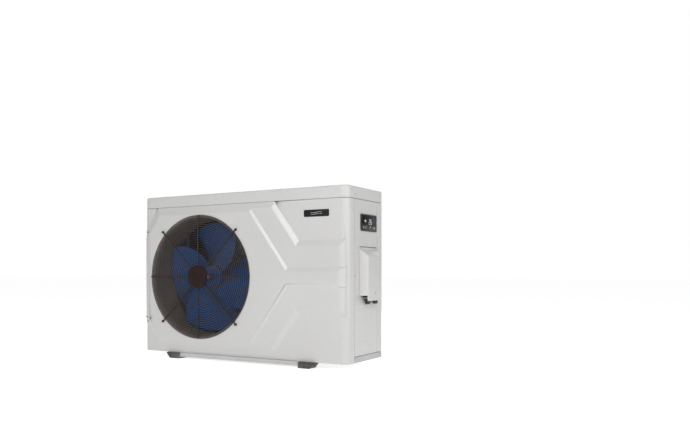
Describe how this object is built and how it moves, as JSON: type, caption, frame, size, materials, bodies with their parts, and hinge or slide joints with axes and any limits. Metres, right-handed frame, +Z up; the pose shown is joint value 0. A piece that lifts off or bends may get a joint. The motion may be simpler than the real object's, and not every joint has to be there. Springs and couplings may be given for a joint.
{
  "type": "pool heat pump",
  "caption": "Side-discharge pool heat pump with an embossed front, round fan grille, side display, hinged terminal cover and rear water unions.",
  "frame": {"origin": "centre of the four foot bolts, on the ground", "axes": "+X to the right seen from the front, +Y from front to back, +Z up"},
  "size_m": [0.9296, 0.3544, 0.622],
  "materials": {
    "casing_white": "satin powder coat with a fine orange peel",
    "rail_grey": "matte grey powder coat",
    "rubber_black": "matte rubber",
    "duct_grey": "satin grey coat",
    "grille_dark": "dark brown plastic-coated wire",
    "disc_brown": "satin moulded plastic",
    "zinc_steel": "zinc-plated steel",
    "fin_blue": "blue hydrophilic coated fins",
    "copper": "drawn copper tube",
    "galvanised": "galvanised sheet with a faint spangle",
    "motor_alloy": "cast and drawn aluminium",
    "fan_blue": "satin blue moulded plastic",
    "compressor_black": "semi-gloss black paint",
    "vessel_grey": "dark grey PVC",
    "titanium": "titanium tube",
    "union_grey": "grey PVC moulding",
    "black_plastic": "matte moulded plastic",
    "valve_brass": "machined brass",
    "board_green": "solder mask",
    "ivory_plastic": "moulded ivory plastic",
    "display_black": "gloss black touch panel",
    "plate_black": "gloss black badge"
  },
  "bodies": {
    "root": {"base_pan": "rail_grey", "base_rails": "rail_grey", "rubber_feet": "rubber_black", "front_panel": "casing_white", "fan_duct": "duct_grey", "fan_grille": "grille_dark", "grille_disc": "disc_brown", "grille_screws": "grille_dark", "top_cover": "casing_white", "right_side_panel": "casing_white", "rear_panel": "casing_white", "rear_left_post": "casing_white", "left_guard": "grille_dark", "rear_guard": "grille_dark", "coil_fins_rear": "fin_blue", "coil_fins_left": "fin_blue", "coil_return_bends": "copper", "coil_end_plates": "galvanised", "partition_panel": "galvanised", "motor_bracket": "galvanised", "fan_motor": "motor_alloy", "compressor": "compressor_black", "accumulator": "compressor_black", "compressor_grommets": "rubber_black", "compressor_nuts": "zinc_steel", "exchanger_vessel": "vessel_grey", "exchanger_lid": "vessel_grey", "exchanger_coil": "titanium", "inlet_tailpiece": "vessel_grey", "outlet_tailpiece": "vessel_grey", "union_seals": "rubber_black", "flow_switch": "black_plastic", "four_way_valve": "valve_brass", "expansion_valve": "valve_brass", "filter_drier": "copper", "discharge_pipe": "copper", "suction_pipe": "copper", "liquid_pipe": "copper", "control_box": "galvanised", "control_board": "board_green", "heat_sink": "motor_alloy", "run_capacitor": "motor_alloy", "terminal_tray": "galvanised", "terminal_block": "ivory_plastic", "gland_shelf": "galvanised", "cable_glands": "black_plastic", "display_housing": "black_plastic", "display_glass": "display_black", "name_plate": "plate_black", "drain_nipple": "black_plastic", "panel_screws": "zinc_steel"},
    "fan": {"fan_shaft": "zinc_steel", "fan_hub": "fan_blue", "fan_blades": "fan_blue", "fan_nut": "fan_blue"},
    "inlet_nut": {"inlet_union_nut": "union_grey"},
    "outlet_nut": {"outlet_union_nut": "union_grey"},
    "cover": {"terminal_cover": "casing_white", "cover_screw": "zinc_steel"}
  },
  "joints": [
    {"name": "fan_spin", "type": "hinge", "parent": "root", "child": "fan", "pos_m": [-0.168, 0, 0.312], "axis": [0, 1, 0], "continuous": true},
    {"name": "inlet_nut_turn", "type": "hinge", "parent": "root", "child": "inlet_nut", "pos_m": [0.35, 0.17, 0.14], "axis": [0, 1, 0], "continuous": true},
    {"name": "outlet_nut_turn", "type": "hinge", "parent": "root", "child": "outlet_nut", "pos_m": [0.35, 0.17, 0.394], "axis": [0, 1, 0], "continuous": true},
    {"name": "terminal_cover_swing", "type": "hinge", "parent": "root", "child": "cover", "pos_m": [0.45, 0.022, 0.415], "axis": [0, -1, 0], "range_deg": [0, 30]}
  ]
}
